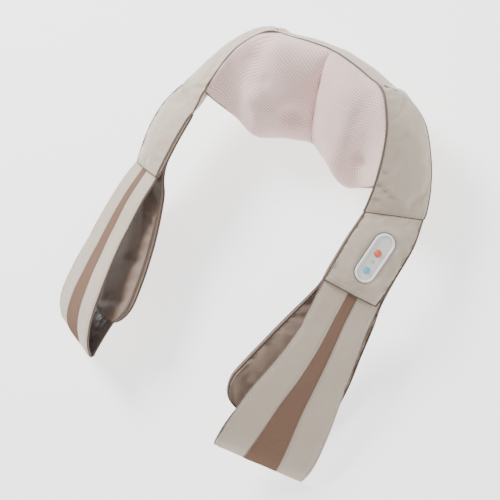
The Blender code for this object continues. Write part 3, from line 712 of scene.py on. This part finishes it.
def add_paddle(side, word):
    """The padded tongue behind the strap, with a gathered side and piping on both rims."""
    arm = f"arm_{word}"
    inner, outer, heights = edge_rows(PADDLE, side)
    paddle = pad_grid(inner, outer, heights * 0.85, side, PADDLE_HALF, blunt=0.35)
    paddle = puff(paddle, 4.0, shrink=0.03)
    paddle = lumps(paddle, 0.8, 26, 21 + side)
    paddle = edge_puckers(paddle, PADDLE_HALF - 1, 1.3, 9, 6.5, 23 + side)
    pad = add_grid(f"{word}_paddle_cover", paddle, PADDLE_CLOTH)
    finish_piece(pad, arm, "paddle_lining", f"paddle_{word}")
    for name, first, second in (("upper", 1, PADDLE_HALF - 1), ("lower", -1, PADDLE_HALF + 1)):
        edges = (beside(paddle[:, second], paddle[:, first], 0.8),
                 beside(paddle[:, first], paddle[:, second], 0.8))
        foot = paddle[-1, first] * 0.5 + paddle[-1, second] * 0.5 + (0, -1.2, 0)
        rim = np.vstack([edges[0], foot[None], edges[1][::-1]])
        add_cord(f"{word}_paddle_{name}_piping", rim, 1.15, arm)


# ---------------------------------------------------------------- hand loops


def strap_rows(side, step=3.0):
    """Edges of the strap from its seam, round its fold and back under the paddle."""
    down = spline_rows(STRAP)
    back = spline_rows(RETURN)
    middle, half = (down[-1] + back[0]) / 2, (down[-1] - back[0]) / 2
    ahead = down[-1] - down[-2]
    fold = []
    for t in np.linspace(0, math.pi, 9)[1:-1]:
        row = []
        for edge in (slice(0, 3), slice(3, 6)):
            bulge = unit(ahead[edge]) * np.linalg.norm(half[edge])
            row.append(middle[edge] + half[edge] * math.cos(t) + bulge * math.sin(t))
        fold.append(np.hstack(row))
    rows = np.vstack([down, fold, back])
    split = lengths((down[:, :3] + down[:, 3:]) / 2)[-1]
    line = (rows[:, :3] + rows[:, 3:]) / 2
    rows = even(rows, line, step)
    inner, outer = place(rows[:, :3], side), place(rows[:, 3:], side)
    normal = unit(np.cross(outer - inner, np.gradient((inner + outer) / 2, axis=0))) * side
    if normal[2, 2] < 0:
        normal = -normal
    return inner, outer, normal, split / lengths(line)[-1]


def band_grid(inner, outer, normal, shares, low, high, rounding=0.7):
    """Rings of a flat band between two heights over the strap's middle surface."""
    across = outer - inner
    position = inner[:, None] + across[:, None] * shares[..., None]
    spread = (shares - shares.mean(axis=1, keepdims=True))
    spread = spread / np.abs(spread).max(axis=1, keepdims=True)
    soft = rounding * np.abs(spread) ** 14
    top = position + normal[:, None] * (high - soft)[..., None]
    under = position + normal[:, None] * (low + soft * 0.3)[..., None]
    return np.concatenate([top, under[:, ::-1]], axis=1)


def stripe_edges(share):
    """The stripe's edges at a share of the way down the strap, through three widths."""
    share = np.clip(share, 0, 1)
    table = np.array(STRIPE)
    weights = np.stack([(1 - share) * (1 - 2 * share), 4 * share * (1 - share), share * (2 * share - 1)])
    return weights.T @ table


def strap_shares(widths, seams):
    """Each row's columns as shares of its width, closest together at the edges and seams."""
    rows = []
    for width, seam in zip(widths, seams):
        marks = [0, 0.5, 1.2]
        for at in seam * width:
            marks += [at - 1.4, at - 0.7, at, at + 0.7, at + 1.4]
        marks += [width - 1.2, width - 0.5, width]
        marks = np.array(marks) / width
        extra = []
        for first, second in ((7, 8), (12, 13), (17, 18)):
            extra += list(np.linspace(marks[first], marks[second], 9)[1:-1])
        rows.append(np.sort(np.hstack([marks, extra])))
    return np.array(rows)


def strap_ripple(inner, outer, shares, widths, seams, side):
    """Height of the strap's face: soft waves, gathers at its edges and grooves at its seams."""
    points = inner[:, None] + (outer - inner)[:, None] * shares[..., None]
    height = noise_at(points, 40, 31 + side) * 1.2
    from_edge = np.minimum(shares, 1 - shares) * widths[:, None]
    run = lengths((inner + outer) / 2)[:, None] / 6.0
    line = np.stack([run + shares * 0.8, shares * 3, shares * 0], axis=2)
    height += noise_at(line, 1.0, 37 + side) * np.exp(-((from_edge - 7) / 6) ** 2) * 0.85
    for k in range(seams.shape[1]):
        away = (shares - seams[:, k:k + 1]) * widths[:, None]
        height -= 0.6 * np.exp(-(away / 0.9) ** 2)
    return height


def add_hand_loop(side, word):
    """Strap, its lining, stripe, edge binding and stitches."""
    arm = f"arm_{word}"
    inner, outer, normal, fold = strap_rows(side)
    count = len(inner)
    run = np.linspace(0, 1, count)
    widths = np.linalg.norm(outer - inner, axis=1)
    edges = stripe_edges(run / fold)
    seams = np.stack([3.2 / widths, edges[:, 0] - 2.0 / widths, edges[:, 1] + 2.0 / widths,
                      1 - 3.2 / widths], axis=1)
    shares = strap_shares(widths, seams)
    ripple = strap_ripple(inner, outer, shares, widths, seams, side)
    band = band_grid(inner, outer, normal, shares, -0.3, 2.0)
    columns = shares.shape[1]
    band[:, :columns] += normal[:, None] * ripple[..., None]
    strap = add_grid(f"{word}_strap_cover", band, COVER, smooth=60)
    finish_piece(strap, arm, "cover_leather", f"strap_{word}")
    inside = band_grid(inner, outer, normal, shares, -1.9, -0.4, 0.3)
    lining = add_grid(f"{word}_strap_lining", inside, LINING, smooth=60)
    finish_piece(lining, arm, "paddle_lining")
    for name, edge in (("inner", inner), ("outer", outer)):
        add_cord(f"{word}_strap_{name}_binding", edge, 1.15, arm)

    shown = run <= fold * 1.03
    edges = edges[shown]
    place_at = edges[:, :1] + (edges[:, 1:] - edges[:, :1]) * np.linspace(0, 1, STRIPE_COLUMNS)[None]
    lift = np.stack([np.interp(row, share, wave) for row, share, wave
                     in zip(place_at, shares[shown], ripple[shown])])
    stripe = band_grid(inner[shown], outer[shown], normal[shown], place_at, 1.4, 2.45, 0.5)
    stripe[:, :STRIPE_COLUMNS] += normal[shown][:, None] * lift[..., None]
    obj = add_grid(f"{word}_strap_stripe_cover", stripe, STRIPE_LEATHER, smooth=60)
    finish_piece(obj, arm, "stripe_leather", f"strap_stripe_{word}")

    upper = slice(2, int(count * fold) - 1)
    for k, name in enumerate(("inner", "stripe_inner", "stripe_outer", "outer")):
        share = seams[:, k]
        wave = np.array([np.interp(at, row, lift) for at, row, lift in zip(share, shares, ripple)])
        points = inner + (outer - inner) * share[:, None] + normal * (2.0 + wave)[:, None]
        add_stitches(f"{word}_strap_{name}_stitches", points[upper], normal[upper], arm, PALE_THREAD)
    # Dark cords at the stripe's edges: partly the seams that hold it, partly painted shade in the grooves beside
    # it.
    for k, name in ((0, "inner"), (1, "outer")):
        share = stripe_edges(run / fold)[:, k] + (0.3 - 0.6 * (k == 0)) / widths
        wave = np.array([np.interp(at, row, lift) for at, row, lift in zip(share, shares, ripple)])
        points = inner + (outer - inner) * share[:, None] + normal * (2.05 + wave)[:, None]
        add_cord(f"{word}_stripe_{name}_seam", points[shown], 0.45, arm, DARK_THREAD, 3.0)


# ---------------------------------------------------------------- neck section


def shell_rows(stations, side, steps):
    rows = spline_rows(stations, steps)
    return place(rows[:, :3], side), place(rows[:, 3:6], side), rows[:, 6:] * (side, 1, 1)


def shell_grid(first, second, bulge, power, columns):
    """Sections that bulge from the line between two edges, which are their end columns."""
    middle, half = (first + second) / 2, (first - second) / 2
    t = np.linspace(0, math.pi, columns + 1)
    across = np.sign(np.cos(t)) * np.abs(np.cos(t)) ** power
    rise = np.abs(np.sin(t)) ** power
    return (middle[:, None] + half[:, None] * across[None, :, None]
            + bulge[:, None] * rise[None, :, None])


def facing(grid, direction):
    """Turns a grid's columns round if its normals don't face a direction."""
    return grid if (grid_normals(grid, False) @ direction).sum() > 0 else grid[:, ::-1]


def set_uv(obj, along, across):
    """Gives each vertex its distances over the surface, in millimetres."""
    layer = obj.data.uv_layers.new(name="UVMap")
    table = np.stack([along.ravel(), across.ravel()], axis=1)
    for loop in obj.data.loops:
        layer.data[loop.index].uv = table[loop.vertex_index % len(table)]


def pod_grid(side):
    first, second, bulge = shell_rows(POD, side, SHELL_STEPS)
    grid = shell_grid(first, second, bulge, 0.85, POD_COLUMNS)
    smooth = grid.copy()
    normals = grid_normals(smooth, False)
    normals *= np.sign((normals @ POD_OUT).sum())
    for bump_side, station, share, radius, height in POD_BUMPS:
        if bump_side == side:
            centre = smooth[round(station * SHELL_STEPS), round(share * POD_COLUMNS)]
            away = np.linalg.norm(smooth - centre, axis=2)
            grid = grid + normals * (height * np.exp(-(away / radius) ** 2))[..., None]
    rim = np.sin(np.linspace(0, math.pi, POD_COLUMNS + 1)) ** 0.5
    waves = noise_at(smooth, 24, 41 + side) * 1.4 * rim[None]
    return grid + normals * waves[..., None]


def add_pod(side, word):
    """One half of the mesh cover over the kneading heads."""
    grid = pod_grid(side)
    steps = np.linalg.norm(np.diff(grid, axis=0), axis=2)
    along = np.vstack([np.zeros(grid.shape[1]), np.cumsum(steps, axis=0)])
    steps = np.linalg.norm(np.diff(grid, axis=1), axis=2)
    across = np.hstack([np.zeros((len(grid), 1)), np.cumsum(steps, axis=1)])
    across -= across[:, [POD_COLUMNS // 2]]
    if (grid_normals(grid, False) @ POD_OUT).sum() < 0:
        grid, along, across = grid[:, ::-1], along[:, ::-1], across[:, ::-1]
    turn = 0.0 if side > 0 else math.radians(45)
    # tint(PINK, 0.6) is the painted shade for the mesh's holes.
    material = spacer_mesh(f"{word}_mesh", PINK, tint(PINK, 0.6), turn)
    pod = add_surface(f"{word}_mesh_pod", grid, 1.2, material)
    doubled = [np.concatenate([array, array[:, ::-1]], axis=1) for array in (along, across)]
    set_uv(pod, *doubled)
    finish_piece(pod, "neck", "mesh_fabric", f"mesh_cover_{word}")


def back_grid():
    """The neck's cover from the end of one shoulder to the end of the other."""
    halves = []
    for side in (-1, 1):
        first, second, bulge = shell_rows(BACK, side, SHELL_STEPS)
        half = shell_grid(first, second, bulge, 0.75, BACK_COLUMNS)
        halves.append(half[::-1] if side < 0 else half[1:])
    grid = np.vstack(halves)
    grid[..., 2] = np.maximum(grid[..., 2], 0.3)
    return facing(grid, np.array((0, 0.7, -0.7)))


def add_neck():
    """Back cover, both pods and the piping where they meet."""
    grid = back_grid()
    uneven = noise_at(grid, 34, 51) * np.clip((grid[..., 2] - 4) / 12, 0, 1)
    grid = grid + grid_normals(grid, False) * (uneven * 1.1)[..., None]
    back = add_surface("neck_back_cover", grid, 2.0, COVER)
    finish_piece(back, "neck", "cover_leather", "back_cover")
    for side, word in SIDES:
        add_pod(side, word)
    pod_rows = spline_rows(POD, SHELL_STEPS)
    for name, edge in (("upper", slice(0, 3)), ("lower", slice(3, 6))):
        pod_edge = np.vstack([place(pod_rows[:, edge], -1)[::-1], place(pod_rows[:, edge], 1)])
        add_cord(f"neck_{name}_piping", pod_edge, 1.5, "neck")


# ---------------------------------------------------------------- control panel


def pill(length, width, count=96):
    """Even points round a strip with round ends, its length along y."""
    radius = width / 2
    reach = max(length / 2 - radius, 0)
    total = 2 * math.pi * radius + 4 * reach
    points = []
    for k in range(count):
        run = total * k / count
        for straight, cx, cy in ((reach * 2, 1, -1), (0, 0, 1), (reach * 2, -1, 1), (0, 0, -1)):
            arc = math.pi * radius
            if straight and run < straight:
                points.append((cx * radius, cy * reach + (run if cx > 0 else -run)))
                break
            if straight:
                run -= straight
                continue
            if run < arc:
                t = run / radius + (0 if cy > 0 else math.pi)
                points.append((radius * math.cos(t), cy * reach + radius * math.sin(t)))
                break
            run -= arc
    return np.array(points)


def panel_ring(shrink, height):
    flat = pill(PANEL_LENGTH - 2 * shrink, PANEL_WIDTH - 2 * shrink)
    local = np.column_stack([flat, np.full(len(flat), height)])
    return PANEL_CENTRE + local @ panel_matrix()


def add_panel():
    """Raised rim, gasket line, dome buttons and the lamp's lens."""
    section = ((0, -1.0), (0, 1.0), (0.25, 1.8), (0.9, 2.4), (1.7, 2.6), (2.5, 2.4), (3.1, 1.7),
               (PANEL_RIM, 0.9), (PANEL_RIM, -1.0), (0, -1.0))
    grid = np.array([panel_ring(shrink, height) for shrink, height in section])
    rim = add_grid("panel_rim", grid, PANEL_WHITE, caps=False, smooth=60)
    finish_piece(rim, "arm_left", "panel_white", "panel_bezel")
    line = panel_ring(-0.5, 0.1)
    gasket = add_cord("panel_gasket", np.vstack([line, line[:1]]), 0.75, "arm_left", GASKET, 1.5)
    for name, y, radius, top, material, body, slot, node in (
        ("power_dome", RED_Y, RED_RADIUS, 2.9, RED_DOME, "power_key", "power_red", "power_button"),
        ("mode_dome", BLUE_Y, BLUE_RADIUS, 2.6, BLUE_DOME, "mode_key", "mode_blue", "mode_button"),
        ("lamp_lens", LAMP_Y, LAMP_RADIUS, 1.4, GREEN_LENS, "arm_left", "lamp_green", "panel_lamp"),
    ):
        profile = [(0.6, -3.0), (1.0, -2.4), (1.0, 0.9)]
        for t in np.linspace(0.15, 1, 10) * math.pi / 2:
            profile.append((math.cos(t) * 0.98 + 0.005, 0.9 + (top - 0.9) * math.sin(t)))
        rings = []
        for share, height in profile:
            turns = np.linspace(0, 2 * math.pi, 41)[:-1]
            ring = np.column_stack([radius * share * np.cos(turns), y + radius * share * np.sin(turns),
                                    np.full(40, height)])
            rings.append(PANEL_CENTRE + ring @ panel_matrix())
        dome = add_grid(name, np.array(rings), material, smooth=60)
        finish_piece(dome, body, slot, node)


# ---------------------------------------------------------------- stage


def add_area(name, location, size, power, target=(0, 0, 0.05)):
    light = bpy.data.lights.new(name, "AREA")
    light.shape = "DISK"
    light.size = size
    light.energy = power
    obj = bpy.data.objects.new(name, light)
    obj.location = location
    aim = Vector(target) - Vector(location)
    obj.rotation_euler = aim.to_track_quat("-Z", "Y").to_euler()
    bpy.context.scene.collection.objects.link(obj)


def add_stage():
    away = CAMERA_RIGHT.cross(CAMERA_DOWN)
    camera = bpy.data.objects.new("camera", bpy.data.cameras.new("camera"))
    camera.data.lens = CAMERA_LENS
    camera.matrix_world = Matrix((CAMERA_RIGHT, -CAMERA_DOWN, -away)).transposed().to_4x4()
    camera.location = CAMERA_PLACE
    bpy.context.scene.collection.objects.link(camera)
    bpy.context.scene.camera = camera

    s = Shader("floor", 0.9)
    s.put("Base Color", s.mix(s.noise(2), (0.93, 0.93, 0.93), (0.95, 0.95, 0.95)))
    s.put("Emission Color", (1.0, 1.0, 1.0))
    s.put("Emission Strength", 1.6)
    corners = [(x * 30000, y * 30000, -0.5) for x, y in ((-1, -1), (1, -1), (1, 1), (-1, 1))]
    floor = add_mesh("floor", corners, [(0, 1, 2, 3)], s.material)

    world = bpy.data.worlds.new("studio")
    world.use_nodes = True
    world.node_tree.nodes["Background"].inputs["Color"].default_value = (1.0, 0.99, 0.98, 1)
    world.node_tree.nodes["Background"].inputs["Strength"].default_value = 0.7
    bpy.context.scene.world = world
    add_area("key", (-1.3, 0.7, 1.6), 0.85, 68)
    add_area("fill", (1.4, -0.6, 1.8), 1.6, 6)


def finish_cad_nodes():
    """Gives every CAD node that still shows the finish of its slot."""
    for row in frame["record"]["subparts"]:
        material = CAD_FINISHES.get(row["material_slot"])
        node = frame["nodes"][row["node"]]
        if material and not node.hide_render:
            for slot in node.material_slots:
                slot.material = material


add_stage()
for side, word in SIDES:
    add_arm_covers(side, word)
    add_paddle(side, word)
    add_hand_loop(side, word)
add_neck()
add_panel()
finish_cad_nodes()
